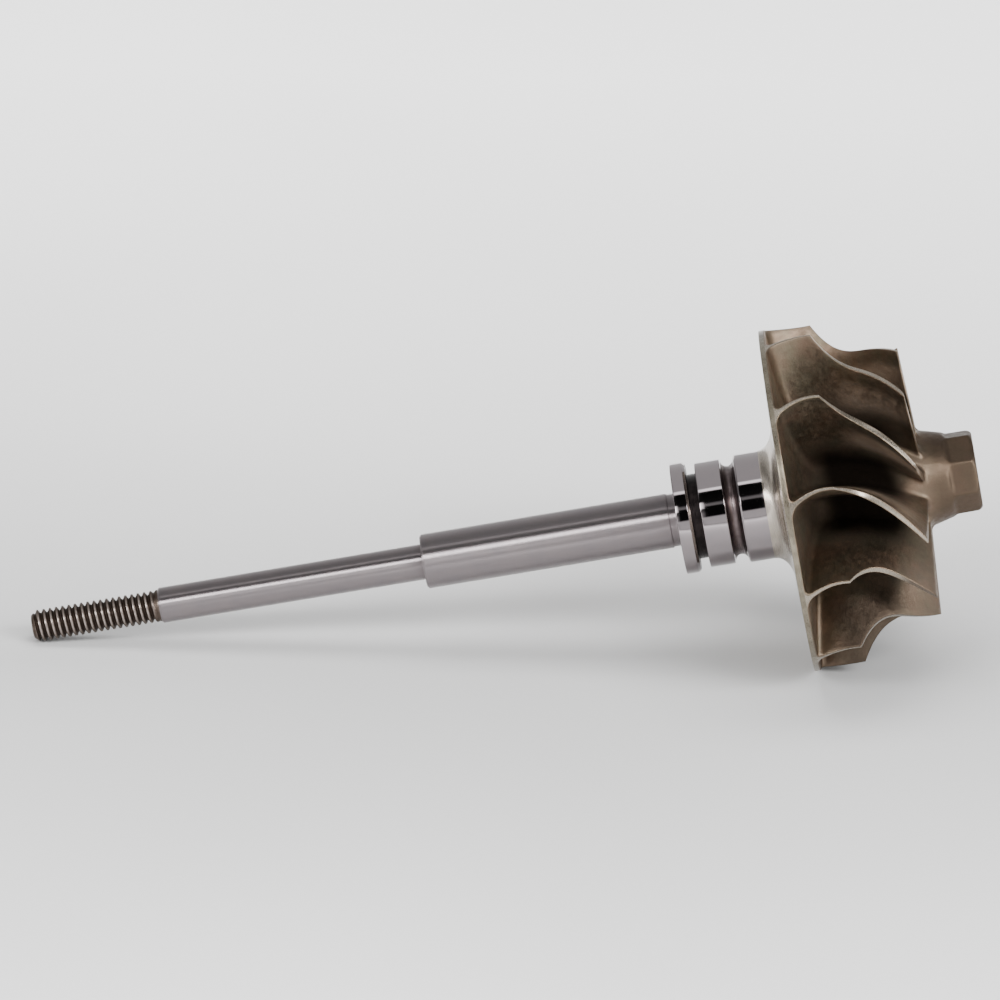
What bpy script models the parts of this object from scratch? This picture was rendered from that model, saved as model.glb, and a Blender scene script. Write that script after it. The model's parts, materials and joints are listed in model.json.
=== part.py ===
"""Turbocharger shaft and turbine wheel, lying on a level floor as it is stored.

The steel shaft and the cast wheel are two pieces, welded face to face at the boss.
Both are made along a spin axis on X, from the thread end at zero to the wheel's nose,
and are then tilted together until the thread and the wheel's rim touch the floor.
"""

import math

import bmesh
import bpy
import numpy as np
from mathutils import Matrix, Vector

MM = 0.001

# Lengths along the spin axis, in millimetres, from the thread end to the wheel
THREAD_LENGTH = 20.2
STUB_LENGTH = 41.9
JOURNAL_LENGTH = 39.0
RELIEF_LENGTH = 1.35
COLLAR_LENGTH = 2.35
RING_GROOVE_WIDTH = 1.5
SEAL_LAND_LENGTH = 3.95
OIL_GROOVE_WIDTH = 2.15
BOSS_STEEL_LENGTH = 2.4
BOSS_CAST_LENGTH = 1.6
BOSS_FILLET_LENGTH = 2.65
RIM_SETBACK = 0.55
WHEEL_LENGTH = 30.1
WELD_GAP = 0.01

# Radii of the shaft, in millimetres
THREAD_MAJOR_RADIUS = 2.5
THREAD_MINOR_RADIUS = 1.93
THREAD_PITCH = 1.0
THREAD_TIP_RADIUS = 1.85
STUB_RADIUS = 2.79
JOURNAL_RADIUS = 4.29
RELIEF_RADIUS = 4.15
COLLAR_RADIUS = 8.7
RING_GROOVE_RADIUS = 6.65
SEAL_LAND_RADIUS = 8.25
OIL_GROOVE_RADIUS = 6.95
BOSS_RADIUS = 8.5
THRUST_CORNER = 0.2
EDGE_CHAMFER = 0.25

# The wheel, in millimetres and degrees, with places measured in front of its back plane
WHEEL_RADIUS = 26.9
DISC_RADIUS = 26.87
DISC_ROOT_RADIUS = 12.5
RIM_THICKNESS = 0.92
DISC_FRONT = ((1.5, 22.65), (2.17, 18.75), (3.06, 15.15), (4.08, 11.45))
HUB_BLEND = ((4.75, 9.95), (5.9, 9.15), (8.2, 8.8), (17.0, 8.5))
HUB_END = 21.65
HUB_END_RADIUS = 7.6
NECK_END = 25.5
NECK_END_RADIUS = 6.75
NOSE_CORNER_RADIUS = 6.5
NOSE_SIDES = 8
NOSE_CORNER_ANGLE = 9.4
NOSE_CHAMFER = 0.6

# The blades, in millimetres and degrees
BLADE_COUNT = 11
FIRST_BLADE_ANGLE = 0.0
BLADE_START = 0.5
INDUCER_END = 8.0
SHROUD_FLAT_START = 15.3
EXDUCER_RADIUS = 21.4
SHROUD_CURVE_POWER = 2.5
EXDUCER_TIP = 20.9
EXDUCER_ROOT = 21.7
CAMBER_VERTEX = 6.65
CAMBER_RATE = 0.1435
TIP_THICKNESS = 0.85
ROOT_THICKNESS = 2.0
ROOT_DEPTH = 1.0
ROOT_RADIUS_LIMIT = 25.0

# How finely the round pieces are divided, and the part of a step that turns a rim facet down
SHAFT_STEPS = 44
THREAD_STEPS = 22
WHEEL_STEPS = 32
FACET_DOWN = 0.5
BLADE_STATIONS = 14
BLADE_RINGS = 6

# Levels of one turn of the thread: place in the pitch, and height from root to crest
THREAD_TURN = ((0.0, 1.0), (0.16, 1.0), (0.5, 0.0), (0.66, 0.0))

WHEEL_BACK = (THREAD_LENGTH + STUB_LENGTH + JOURNAL_LENGTH + RELIEF_LENGTH + COLLAR_LENGTH
              + RING_GROOVE_WIDTH + SEAL_LAND_LENGTH + OIL_GROOVE_WIDTH + BOSS_STEEL_LENGTH
              + BOSS_CAST_LENGTH + BOSS_FILLET_LENGTH + RIM_SETBACK)
WELD_STATION = (WHEEL_BACK - RIM_SETBACK - BOSS_FILLET_LENGTH - BOSS_CAST_LENGTH)


def clear_scene():
    for thing in list(bpy.data.objects):
        bpy.data.objects.remove(thing, do_unlink=True)


def steel(name, colour, roughness):
    material = bpy.data.materials.new(name)
    material.use_nodes = True
    shader = material.node_tree.nodes["Principled BSDF"]
    shader.inputs["Base Color"].default_value = (*colour, 1.0)
    shader.inputs["Metallic"].default_value = 1.0
    shader.inputs["Roughness"].default_value = roughness
    return material


def ring_point(station, radius, angle):
    """A point round the X axis. The angle runs from up towards minus Y."""
    return Vector((station, -radius * math.sin(angle), radius * math.cos(angle))) * MM


def new_object(name, mesh_bm, material):
    mesh = bpy.data.meshes.new(name)
    bmesh.ops.recalc_face_normals(mesh_bm, faces=mesh_bm.faces)
    mesh_bm.to_mesh(mesh)
    mesh_bm.free()
    mesh.shade_smooth()
    mesh.set_sharp_from_angle(angle=math.radians(30.0))
    thing = bpy.data.objects.new(name, mesh)
    bpy.context.scene.collection.objects.link(thing)
    mesh.materials.append(material)
    return thing


def add_ring(mesh_bm, station, radius_at, steps, offset=0.0):
    """A ring of points. The offset turns it by a part of one step."""
    ring = []
    for step in range(steps):
        angle = 2.0 * math.pi * (step + offset) / steps
        ring.append(mesh_bm.verts.new(ring_point(station, radius_at(angle), angle)))
    return ring


def bridge(mesh_bm, ring_a, ring_b):
    steps = len(ring_a)
    for step in range(steps):
        after = (step + 1) % steps
        mesh_bm.faces.new((ring_a[step], ring_a[after], ring_b[after], ring_b[step]))


def bridge_double(mesh_bm, coarse, fine):
    """Join a ring to one with twice as many points."""
    steps = len(coarse)
    for step in range(steps):
        here = coarse[step]
        after = coarse[(step + 1) % steps]
        first = fine[2 * step]
        middle = fine[2 * step + 1]
        last = fine[(2 * step + 2) % len(fine)]
        mesh_bm.faces.new((here, middle, first))
        mesh_bm.faces.new((here, after, middle))
        mesh_bm.faces.new((after, last, middle))


def turned_rings(mesh_bm, outline, steps, offset=0.0):
    """Rings along an outline of (station, radius), joined one to the next."""
    rings = []
    for station, radius in outline:
        rings.append(add_ring(mesh_bm, station, lambda angle, r=radius: r, steps, offset))
    for ring_a, ring_b in zip(rings, rings[1:]):
        bridge(mesh_bm, ring_a, ring_b)
    return rings


def thread_radius(station, height):
    """Radius of the thread at a station, run out at its end and chamfered at its tip."""
    run_out = min(1.0, (THREAD_LENGTH - station) / THREAD_PITCH)
    depth = (THREAD_MAJOR_RADIUS - THREAD_MINOR_RADIUS) * (1.0 - height) * run_out
    return min(THREAD_MAJOR_RADIUS - depth, THREAD_TIP_RADIUS + station)


def add_thread(mesh_bm):
    """A right-hand thread. Its mesh lines follow the helix, and stop at both end planes."""
    per_turn = len(THREAD_TURN)
    turns = int(round(THREAD_LENGTH / THREAD_PITCH)) + 2
    columns = []
    for step in range(THREAD_STEPS):
        column = []
        for level in range(-per_turn, turns * per_turn):
            place, height = THREAD_TURN[level % per_turn]
            turn = level // per_turn
            station = (turn + place + step / THREAD_STEPS) * THREAD_PITCH
            station = min(max(station, 0.0), THREAD_LENGTH)
            angle = 2.0 * math.pi * step / THREAD_STEPS
            radius = thread_radius(station, height)
            column.append(mesh_bm.verts.new(ring_point(station, radius, angle)))
        columns.append(column)
    for step in range(THREAD_STEPS):
        column = columns[step]
        after = columns[(step + 1) % THREAD_STEPS]
        shift = per_turn if step == THREAD_STEPS - 1 else 0
        for level in range(len(column) - 1 - shift):
            far = level + shift
            mesh_bm.faces.new((column[level], after[far], after[far + 1], column[level + 1]))
    bmesh.ops.remove_doubles(mesh_bm, verts=mesh_bm.verts, dist=1e-6)


def ring_at(mesh_bm, station, steps):
    """The points of a finished ring at a station, in order round the axis."""
    found = [vert for vert in mesh_bm.verts if abs(vert.co.x - station * MM) < 1e-6]
    found.sort(key=lambda vert: math.atan2(-vert.co.y, vert.co.z) % (2.0 * math.pi - 1e-6))
    if len(found) != steps:
        raise RuntimeError("ring at %.2f mm has %d points" % (station, len(found)))
    return found


def shaft_outline():
    """Outline of the shaft from the stub to the weld, as (station, radius)."""
    chamfer = EDGE_CHAMFER
    outline = []
    station = THREAD_LENGTH
    outline += [(station, STUB_RADIUS - chamfer), (station + chamfer, STUB_RADIUS)]
    station += STUB_LENGTH
    outline += [(station, STUB_RADIUS), (station, JOURNAL_RADIUS - chamfer)]
    outline += [(station + chamfer, JOURNAL_RADIUS)]
    station += JOURNAL_LENGTH
    outline += [(station, JOURNAL_RADIUS), (station + chamfer, RELIEF_RADIUS)]
    station += RELIEF_LENGTH
    outline += [(station - THRUST_CORNER, RELIEF_RADIUS)]
    outline += [(station, RELIEF_RADIUS + THRUST_CORNER), (station, COLLAR_RADIUS - chamfer)]
    outline += [(station + chamfer, COLLAR_RADIUS)]
    station += COLLAR_LENGTH
    outline += [(station - chamfer, COLLAR_RADIUS), (station, COLLAR_RADIUS - chamfer)]
    outline += [(station, RING_GROOVE_RADIUS)]
    station += RING_GROOVE_WIDTH
    outline += [(station, RING_GROOVE_RADIUS), (station, SEAL_LAND_RADIUS)]
    station += SEAL_LAND_LENGTH
    outline += [(station, SEAL_LAND_RADIUS)]
    half = 0.5 * OIL_GROOVE_WIDTH
    depth = SEAL_LAND_RADIUS - OIL_GROOVE_RADIUS
    for step in range(1, 6):
        turn = math.pi * step / 6.0
        place = station + half * (1.0 - math.cos(turn))
        outline += [(place, SEAL_LAND_RADIUS - depth * math.sin(turn))]
    station += OIL_GROOVE_WIDTH
    outline += [(station, BOSS_RADIUS - chamfer), (station + chamfer, BOSS_RADIUS)]
    outline += [(WELD_STATION, BOSS_RADIUS)]
    return outline


def make_shaft(material):
    mesh_bm = bmesh.new()
    add_thread(mesh_bm)
    thread_start = ring_at(mesh_bm, 0.0, THREAD_STEPS)
    thread_end = ring_at(mesh_bm, THREAD_LENGTH, THREAD_STEPS)
    rings = turned_rings(mesh_bm, shaft_outline(), SHAFT_STEPS)
    bridge_double(mesh_bm, thread_end, rings[0])
    mesh_bm.faces.new(thread_start)
    mesh_bm.faces.new(rings[-1])
    return new_object("shaft", mesh_bm, material)


def hub_outline():
    """Outline of the disc's front and the hub, as (place, radius) from rim to neck."""
    outline = [(RIM_THICKNESS, DISC_RADIUS), *DISC_FRONT, *HUB_BLEND]
    outline += [(HUB_END, HUB_END_RADIUS)]
    return outline


def hub_radius(place):
    """Radius of the hub's front, at a distance in front of the wheel's back plane."""
    outline = hub_outline()
    places = [point[0] for point in outline]
    radii = [point[1] for point in outline]
    return float(np.interp(place, places, radii))


def nose_radius(angle):
    """Radius of the nose's flats at an angle."""
    side = 2.0 * math.pi / NOSE_SIDES
    from_corner = (angle - math.radians(NOSE_CORNER_ANGLE)) % side
    flat = NOSE_CORNER_RADIUS * math.cos(side / 2.0)
    return flat / math.cos(from_corner - side / 2.0)


def wheel_outline():
    """Outline of the turned body from the weld to the neck, as (station, radius)."""
    back = WHEEL_BACK
    outline = [(WELD_STATION + WELD_GAP, BOSS_RADIUS)]
    fillet_start = WELD_STATION + BOSS_CAST_LENGTH
    for step in range(5):
        turn = 0.5 * math.pi * step / 5.0
        place = fillet_start + BOSS_FILLET_LENGTH * math.sin(turn)
        radius = BOSS_RADIUS + (DISC_ROOT_RADIUS - BOSS_RADIUS) * (1.0 - math.cos(turn))
        outline += [(place, radius)]
    outline += [(back - RIM_SETBACK, DISC_ROOT_RADIUS), (back, DISC_RADIUS)]
    outline += [(back + place, radius) for place, radius in hub_outline()]
    outline += [(back + NECK_END, NECK_END_RADIUS)]
    return outline


def nose_end_radius(angle):
    return min(NOSE_CORNER_RADIUS - NOSE_CHAMFER, nose_radius(angle))


def make_wheel_body(material):
    """The turned body with a rim facet on the floor, and the nose with points on its corners."""
    mesh_bm = bmesh.new()
    rings = turned_rings(mesh_bm, wheel_outline(), WHEEL_STEPS, FACET_DOWN)
    end = WHEEL_BACK + WHEEL_LENGTH
    on_corner = NOSE_CORNER_ANGLE * WHEEL_STEPS / 360.0
    nose = [add_ring(mesh_bm, WHEEL_BACK + NECK_END, nose_radius, WHEEL_STEPS, on_corner),
            add_ring(mesh_bm, end - NOSE_CHAMFER, nose_radius, WHEEL_STEPS, on_corner),
            add_ring(mesh_bm, end, nose_end_radius, WHEEL_STEPS, on_corner)]
    for ring_a, ring_b in zip([rings[-1]] + nose, nose):
        bridge(mesh_bm, ring_a, ring_b)
    mesh_bm.faces.new(rings[0])
    mesh_bm.faces.new(nose[-1])
    return new_object("turbine_wheel", mesh_bm, material)


def camber(place):
    """Angle of a blade at a place, from where its camber line runs straight."""
    return math.radians(CAMBER_RATE * (place - CAMBER_VERTEX) ** 2)


def camber_slope(place):
    return math.radians(2.0 * CAMBER_RATE * (place - CAMBER_VERTEX))


def shroud_radius(place):
    """Radius of a blade's free edge at a distance in front of the back plane."""
    if place <= INDUCER_END:
        return WHEEL_RADIUS
    share = min(1.0, (place - INDUCER_END) / (SHROUD_FLAT_START - INDUCER_END))
    drop = (1.0 - share) ** SHROUD_CURVE_POWER
    return EXDUCER_RADIUS + (WHEEL_RADIUS - EXDUCER_RADIUS) * drop


def blade_point(share_along, share_up):
    """Place and radius of a point of a blade, from its back to its exit, root to free edge."""
    tip_place = BLADE_START + (EXDUCER_TIP - BLADE_START) * share_along
    root_place = BLADE_START + (EXDUCER_ROOT - BLADE_START) * share_along
    root = min(ROOT_RADIUS_LIMIT, hub_radius(root_place)) - ROOT_DEPTH
    place = root_place + (tip_place - root_place) * share_up
    return place, root + (shroud_radius(tip_place) - root) * share_up


def blade_side(mesh_bm, around, side):
    """One face of a blade as rows of points: side is 1 or -1 for its two faces."""
    rows = []
    for station in range(BLADE_STATIONS):
        row = []
        for ring in range(BLADE_RINGS):
            place, radius = blade_point(station / (BLADE_STATIONS - 1), ring / (BLADE_RINGS - 1))
            inward = (1.0 - ring / (BLADE_RINGS - 1)) ** 1.5
            thickness = TIP_THICKNESS + (ROOT_THICKNESS - TIP_THICKNESS) * inward
            slant = math.sqrt(1.0 + (radius * camber_slope(place)) ** 2)
            half_angle = 0.5 * thickness * slant / radius
            angle = around + camber(place) + side * half_angle
            row.append(mesh_bm.verts.new(ring_point(WHEEL_BACK + place, radius, angle)))
        rows.append(row)
    return rows


def rim_of(rows):
    """The outer points of a grid of rows, in order round it."""
    loop = list(rows[0])
    loop += [row[-1] for row in rows[1:]]
    loop += list(reversed(rows[-1][:-1]))
    loop += [row[0] for row in reversed(rows[1:-1])]
    return loop


def make_blades(material):
    """All blades as one set of closed solids, to be joined to the body."""
    mesh_bm = bmesh.new()
    for blade in range(BLADE_COUNT):
        around = math.radians(FIRST_BLADE_ANGLE) + 2.0 * math.pi * blade / BLADE_COUNT
        near = blade_side(mesh_bm, around, 1.0)
        far = blade_side(mesh_bm, around, -1.0)
        for rows in (near, far):
            for row_a, row_b in zip(rows, rows[1:]):
                for ring in range(BLADE_RINGS - 1):
                    corners = (row_a[ring], row_b[ring], row_b[ring + 1], row_a[ring + 1])
                    mesh_bm.faces.new(corners)
        bridge(mesh_bm, rim_of(near), rim_of(far))
    return new_object("blade_set", mesh_bm, material)


def join_tool(body, tool):
    modifier = body.modifiers.new(tool.name, "BOOLEAN")
    modifier.operation = "UNION"
    modifier.solver = "EXACT"
    modifier.object = tool
    tool.hide_render = True
    tool.display_type = "WIRE"


def evaluated_points(thing):
    """Points of an object's finished mesh in its own space, as an array."""
    graph = bpy.context.evaluated_depsgraph_get()
    mesh = thing.evaluated_get(graph).to_mesh()
    points = np.array([vert.co[:] for vert in mesh.vertices])
    thing.evaluated_get(graph).to_mesh_clear()
    return points


def heights(points, tilt):
    return points[:, 0] * math.sin(tilt) + points[:, 2] * math.cos(tilt)


def resting_tilt(shaft_points, wheel_points):
    """The tilt at which the thread end and the wheel's rim are equally low."""
    low = 0.0
    high = math.radians(30.0)
    for _ in range(40):
        middle = 0.5 * (low + high)
        if heights(wheel_points, middle).min() < heights(shaft_points, middle).min():
            low = middle
        else:
            high = middle
    return 0.5 * (low + high)


def lay_on_floor(holder, shaft, wheel):
    """Tilt the assembly until it rests, with the middle of its base at the origin."""
    shaft_points = evaluated_points(shaft)
    wheel_points = evaluated_points(wheel)
    tilt = resting_tilt(shaft_points, wheel_points)
    turn = Matrix.Rotation(-tilt, 4, "Y")
    points = np.vstack((shaft_points, wheel_points)) @ np.array(turn.to_3x3()).T
    low = points.min(axis=0)
    high = points.max(axis=0)
    holder.rotation_euler = (0.0, -tilt, 0.0)
    holder.location = (-0.5 * (low[0] + high[0]), -0.5 * (low[1] + high[1]), -low[2])


def main():
    clear_scene()
    shaft_steel = steel("shaft_steel", (0.50, 0.48, 0.49), 0.22)
    wheel_alloy = steel("wheel_alloy", (0.26, 0.22, 0.18), 0.45)
    shaft = make_shaft(shaft_steel)
    wheel = make_wheel_body(wheel_alloy)
    blades = make_blades(wheel_alloy)
    join_tool(wheel, blades)
    holder = bpy.data.objects.new("spin_axis", None)
    bpy.context.scene.collection.objects.link(holder)
    for thing in (shaft, wheel, blades):
        thing.parent = holder
    bpy.context.view_layer.update()
    lay_on_floor(holder, shaft, wheel)
    bpy.context.view_layer.update()


main()
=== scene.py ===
"""Looks of a turbocharger's shaft and turbine wheel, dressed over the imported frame.

Every piece is turned or swept round one spin axis. It is modelled in millimetres along
that axis, with stations counted from the thread's end, and then laid on the frame.
"""

import json
import math

import bmesh
import bpy
import numpy as np
from bpy.props import FloatProperty, FloatVectorProperty, IntProperty, PointerProperty
from mathutils import Matrix, Vector


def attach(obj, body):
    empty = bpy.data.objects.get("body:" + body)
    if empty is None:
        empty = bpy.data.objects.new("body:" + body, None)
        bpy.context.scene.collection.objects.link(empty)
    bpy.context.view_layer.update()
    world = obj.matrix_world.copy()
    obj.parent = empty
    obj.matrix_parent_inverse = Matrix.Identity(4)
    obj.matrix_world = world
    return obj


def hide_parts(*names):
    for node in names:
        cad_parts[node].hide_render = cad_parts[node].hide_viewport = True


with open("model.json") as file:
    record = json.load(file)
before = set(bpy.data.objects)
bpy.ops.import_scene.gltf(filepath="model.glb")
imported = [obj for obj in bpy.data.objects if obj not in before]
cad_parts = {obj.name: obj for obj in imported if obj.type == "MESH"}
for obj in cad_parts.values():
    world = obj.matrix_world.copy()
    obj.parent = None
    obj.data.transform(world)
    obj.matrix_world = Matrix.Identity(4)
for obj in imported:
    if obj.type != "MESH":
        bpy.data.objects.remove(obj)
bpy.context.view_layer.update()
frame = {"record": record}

bl_info = {
    "name": "Turbocharger Rotor",
    "version": (1, 0, 0),
    "blender": (4, 5, 0),
    "location": "3D View > Sidebar > Rotor",
    "description": "Builds a turbocharger shaft and its cast turbine wheel",
    "category": "Object",
}

MM = 0.001
MOUNTS = {mount["name"]: Vector(mount["pos_m"]) for mount in frame["record"]["mounts"]}

# Stations along the spin axis, in millimetres from the thread's end
THREAD_END = 20.2
JOURNAL_START = 62.1
JOURNAL_END = 101.1
COLLAR_START = 102.45
COLLAR_END = 104.8
LAND_START = 106.3
LAND_END = 110.25
BOSS_START = 112.4
WELD = 114.8
WHEEL_BACK = 119.6

# Radii of the shaft, and the chamfers and grooves along it, in millimetres
THREAD_RADIUS = 2.5
THREAD_DEPTH = 0.57
THREAD_TIP_RADIUS = 1.78
STUB_RADIUS = 2.79
STUB_START_RADIUS = 2.52
STUB_CHAMFER = 0.28
SHOULDER_RADIUS = 4.02
JOURNAL_RADIUS = 4.29
JOURNAL_CHAMFER = 0.3
RELIEF_RADIUS = 4.12
RELIEF_ROUND = 0.08
RELIEF_SLOPE = 0.2
SHAFT_OVERLAP = 0.3
COLLAR_RADIUS = 8.7
COLLAR_CHAMFER = 0.42
COLLAR_CHAMFER_RADIUS = 8.35
COLLAR_ROUND = 0.1
RING_GROOVE_RADIUS = 6.65
RING_GROOVE_ROUND = 0.12
LAND_RADIUS = 8.25
OIL_GROOVE_EDGE = 8.2
OIL_GROOVE_DEPTH = 1.25
BOSS_RADIUS = 8.5
BOSS_CAP_RING = 4.0
# Radii below which the grooves take painted shade and dark oxide
RING_SHADE_RADIUS = 8.0
OIL_SHADE_RADIUS = 7.9

# A radius so small that a turned end closes on the spin axis
AXIS_RADIUS = 0.001

# Thread profile over one pitch: place, and height from root to crest
THREAD_TURN = ((0.0, 1.0), (0.24, 1.0), (0.56, 0.0), (0.68, 0.0), (1.0, 1.0))
THREAD_RUN_OUT = 1.2
THREAD_TIP_SLOPE = 0.9

# The way that the thread's crests face where they get a painted highlight, across the spin axis
HIGHLIGHT_WAY = (0.0, -0.93, 0.37)

# Places in front of the wheel's back plane, and radii, in millimetres
INDUCER_END = 8.0
SHROUD_FLAT = 15.3
EXIT_TIP = 20.9
EXIT_ROOT = 21.7
HUB_WAIST = 8.9
RIM_CORNER = 0.15
RIM_TURNS = (0.0, 22.5, 45.0, 67.5)
DISC_CURVE_END = 7.0
DISC_CURVE_LENGTH = 6.05
DISC_CURVE_RISE = 18.0
HUB_FROM_DISC = ((8.0, 8.87), (12.0, 8.77), (17.0, 8.55), (20.0, 8.0), (21.7, 7.6),
                 (22.9, 7.32), (24.2, 6.98), (25.2, 6.72))
CAMBER_PLACE = 6.65
CAMBER_RATE = 0.1435
SHROUD_CURVE_POWER = 2.5

# Rounds on the blades' free edges, and sizes at places along them, as (places, millimetres)
TRAILING_ROUND = 0.34
EDGE_ROUND = 0.13
ROOT_FILLETS = ((0.8, 3.0, 8.0, 16.0, 21.0), (1.15, 1.3, 1.1, 0.85, 0.75))
TIP_THICKNESSES = ((8.0, 10.5, 13.5, 17.0, 20.9), (0.5, 0.75, 0.92, 0.85, 0.62))
ROOT_THICKNESSES = ((0.8, 4.0, 12.0, 21.0), (0.8, 1.5, 1.7, 1.45))
THICKENING_POWER = 1.6
THINNEST_HALF = 0.02

# The disc's rim and dished back face: rounds, and (place, radius) from the back plane
RIM_BACK_ROUND = 0.13
RIM_BACK_LIP = 0.5
BACK_LIP_END = (-0.02, 0.9)
BACK_FACE = ((-0.3, 19.0), (-0.5, 13.5))
BOSS_FILLET_START = 1.6
BOSS_FILLET_LENGTH = 2.65
BOSS_FILLET_RISE = 4.0

# The neck's end, the nose's first corner in degrees, and its (place, corners, flats)
NECK_END = 25.2
NOSE_FLATS = 8
NOSE_CORNER = 9.4
NOSE_OUTLINE = ((25.5, 6.62, 6.6), (25.75, 6.56, 6.32), (26.0, 6.5, 6.1), (26.4, 6.5, 6.02),
                (29.2, 6.48, 6.0), (29.5, 6.42, 5.97), (29.75, 6.2, 5.9), (29.95, 5.97, 5.8),
                (30.06, 5.8, 5.72), (30.1, 5.6, 5.6), (30.1, 5.0, 5.0), (30.1, 0.001, 0.001))

# Numbers of the wheel's finishes
CAST, GROUND, TURNED, POLISHED, RIM = range(5)

# Colours of stains and tarnish, of painted light and painted shade, and of the nose's darker tone
CAST_STAIN = (0.13, 0.10, 0.08)
CAST_SPECK = (0.33, 0.28, 0.23)
PAINTED_LIGHT_FLANK = (0.58, 0.455, 0.355)
PAINTED_SHADE_UNDER = (0.06, 0.045, 0.034)
PASSAGE_PAINTED_SHADE = (0.012, 0.009, 0.007)
NOSE_DARKER_TONE = (0.075, 0.052, 0.037)
TURNED_TARNISH = (0.32, 0.29, 0.235)
EDGE_TARNISH = (0.26, 0.22, 0.175)
EDGE_PAINTED_SHADE = (0.12, 0.095, 0.075)
RIM_OLIVE = (0.26, 0.232, 0.18)
RIM_TARNISH = (0.17, 0.146, 0.11)
STEEL_CLOUD = (0.34, 0.29, 0.283)
STEEL_STREAK = (0.285, 0.26, 0.267)
RING_GROOVE_SHADE_AND_OXIDE = ((0.012, 0.01, 0.01), (0.03, 0.024, 0.024))
OIL_GROOVE_SHADE_AND_OXIDE = ((0.10, 0.078, 0.078), (0.16, 0.128, 0.13))
THREAD_CREST = (0.42, 0.36, 0.325)

# Spans where the wheel's painted light and painted shade, and its darker tone towards the nose, come and
# go,
# in millimetres: outward from the spin axis, upward across it, and places in front of the wheel's back
# plane
FLANK_OUTWARD = (13.0, 16.0)
FLANK_OUTWARD_END = (17.8, 19.8)
FLANK_PLACES = (9.0, 14.0)
FLANK_UPWARD = (-3.0, 9.0)
UNDERSIDE_UPWARD = (-13.5, -10.0)
UNDERSIDE_PLACES = (2.0, 7.0)
UNDERSIDE_PLACES_END = (12.0, 18.0)
PASSAGE_OUTWARD = (10.5, 18.5)
PASSAGE_PLACES = (0.5, 8.0)
PASSAGE_PLACES_END = (16.0, 22.0)
NOSE_PLACES = (19.0, 24.0)
EDGE_SHADE_PLACES = (14.0, 17.5)
EDGE_SHADE_UPWARD = (-9.0, -4.0)

# The soft shade across the floor, in millimetres, its strengths, and the light that is left
FLOOR_SHADE_PLACE = -8.0
FLOOR_SHADE_FRONT = 250.0
FLOOR_SHADE_BACK = 270.0
FAR_FRONT_SPAN = (-620.0, -190.0)
FLOOR_SHADE_STRENGTH = 0.85
FAR_FRONT_STRENGTH = 0.8
FLOOR_SHADE = 0.35

# Brightness of the surround by degrees up from the camera's side, over the top, to the back
MIDDLE_BANDS = ((0.0, 1.5), (15.0, 1.4), (18.0, 0.01), (39.0, 0.01), (41.0, 0.5), (44.0, 0.5),
                (48.0, 0.02), (73.0, 0.01), (75.5, 4.5), (79.0, 4.5), (81.5, 1.1), (180.0, 1.1))
SIDE_BANDS = ((0.0, 0.85), (10.0, 0.9), (14.0, 1.9), (26.0, 1.9), (30.5, 0.8), (35.0, 0.8),
              (37.5, 16.0), (48.0, 16.0), (51.0, 0.04), (69.0, 0.06), (73.5, 0.95), (79.5, 0.95),
              (88.0, 0.45), (99.0, 0.36), (112.0, 0.34), (124.0, 0.45), (137.0, 0.65),
              (153.0, 0.9), (180.0, 1.1))

# Share of a direction that runs along the rotor where the middle bands give way to the side's
BAND_CHANGE = (0.1, 0.2)

# The floor's reach, what the lamps aim at, and the lamps' sizes, in metres
FLOOR_REACH = 6.0
LAMP_AIM = (0.02, 0.0, 0.02)
SIDE_SOFTBOX = (0.6, 0.4)
TOP_SOFTBOX = (1.0, 0.5)
LOW_LAMP = (0.3, 0.2)
LOW_LAMP_POWER = 2.5

# The camera's sensor, and the place of the disc's middle, both in millimetres
SENSOR_WIDTH = 36.0
DISC_MIDDLE = 0.8

# How finely the pieces are divided, what is merged, and the angle that stays a sharp edge
THREAD_LEVELS = 14
THREAD_COLUMNS = 72
ROUND_COLUMNS = 176
BLADE_ROWS = 48
FLANK_LEVELS = 13
FILLET_STEPS = 7
PASSAGE_COLUMNS = 13
EDGE_COLUMNS = 3
TRAILING_SHARES = (1.0, 0.8, 0.58, 0.36, 0.18, 0.06, 0.0)
TIP_SHARES = (0.6, 0.3, 0.1, 0.0)
NECK_ROWS = 9
MERGE_DISTANCE = 2e-6
SHARP_ANGLE = 38.0


class RotorSizes(bpy.types.PropertyGroup):
    wheel_radius: FloatProperty(
        name="Wheel radius", description="Radius of the back disc's rim and blade inlets",
        default=0.0269, unit="LENGTH", subtype="DISTANCE")
    exducer_radius: FloatProperty(
        name="Exit radius", description="Radius of the blade tips at the wheel's exit",
        default=0.02135, unit="LENGTH", subtype="DISTANCE")
    blade_count: IntProperty(
        name="Blades", description="Number of blades round the hub", default=11, min=7, max=15)
    rim_thickness: FloatProperty(
        name="Rim thickness", description="Thickness of the back disc at its rim",
        default=0.00097, unit="LENGTH", subtype="DISTANCE")
    edge_round: FloatProperty(
        name="Edge round", description="Radius on the turned edges of the shaft",
        default=0.00016, unit="LENGTH", subtype="DISTANCE")
    thread_pitch: FloatProperty(
        name="Thread pitch", description="Distance between crests of the thread",
        default=0.001, unit="LENGTH", subtype="DISTANCE")


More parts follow.
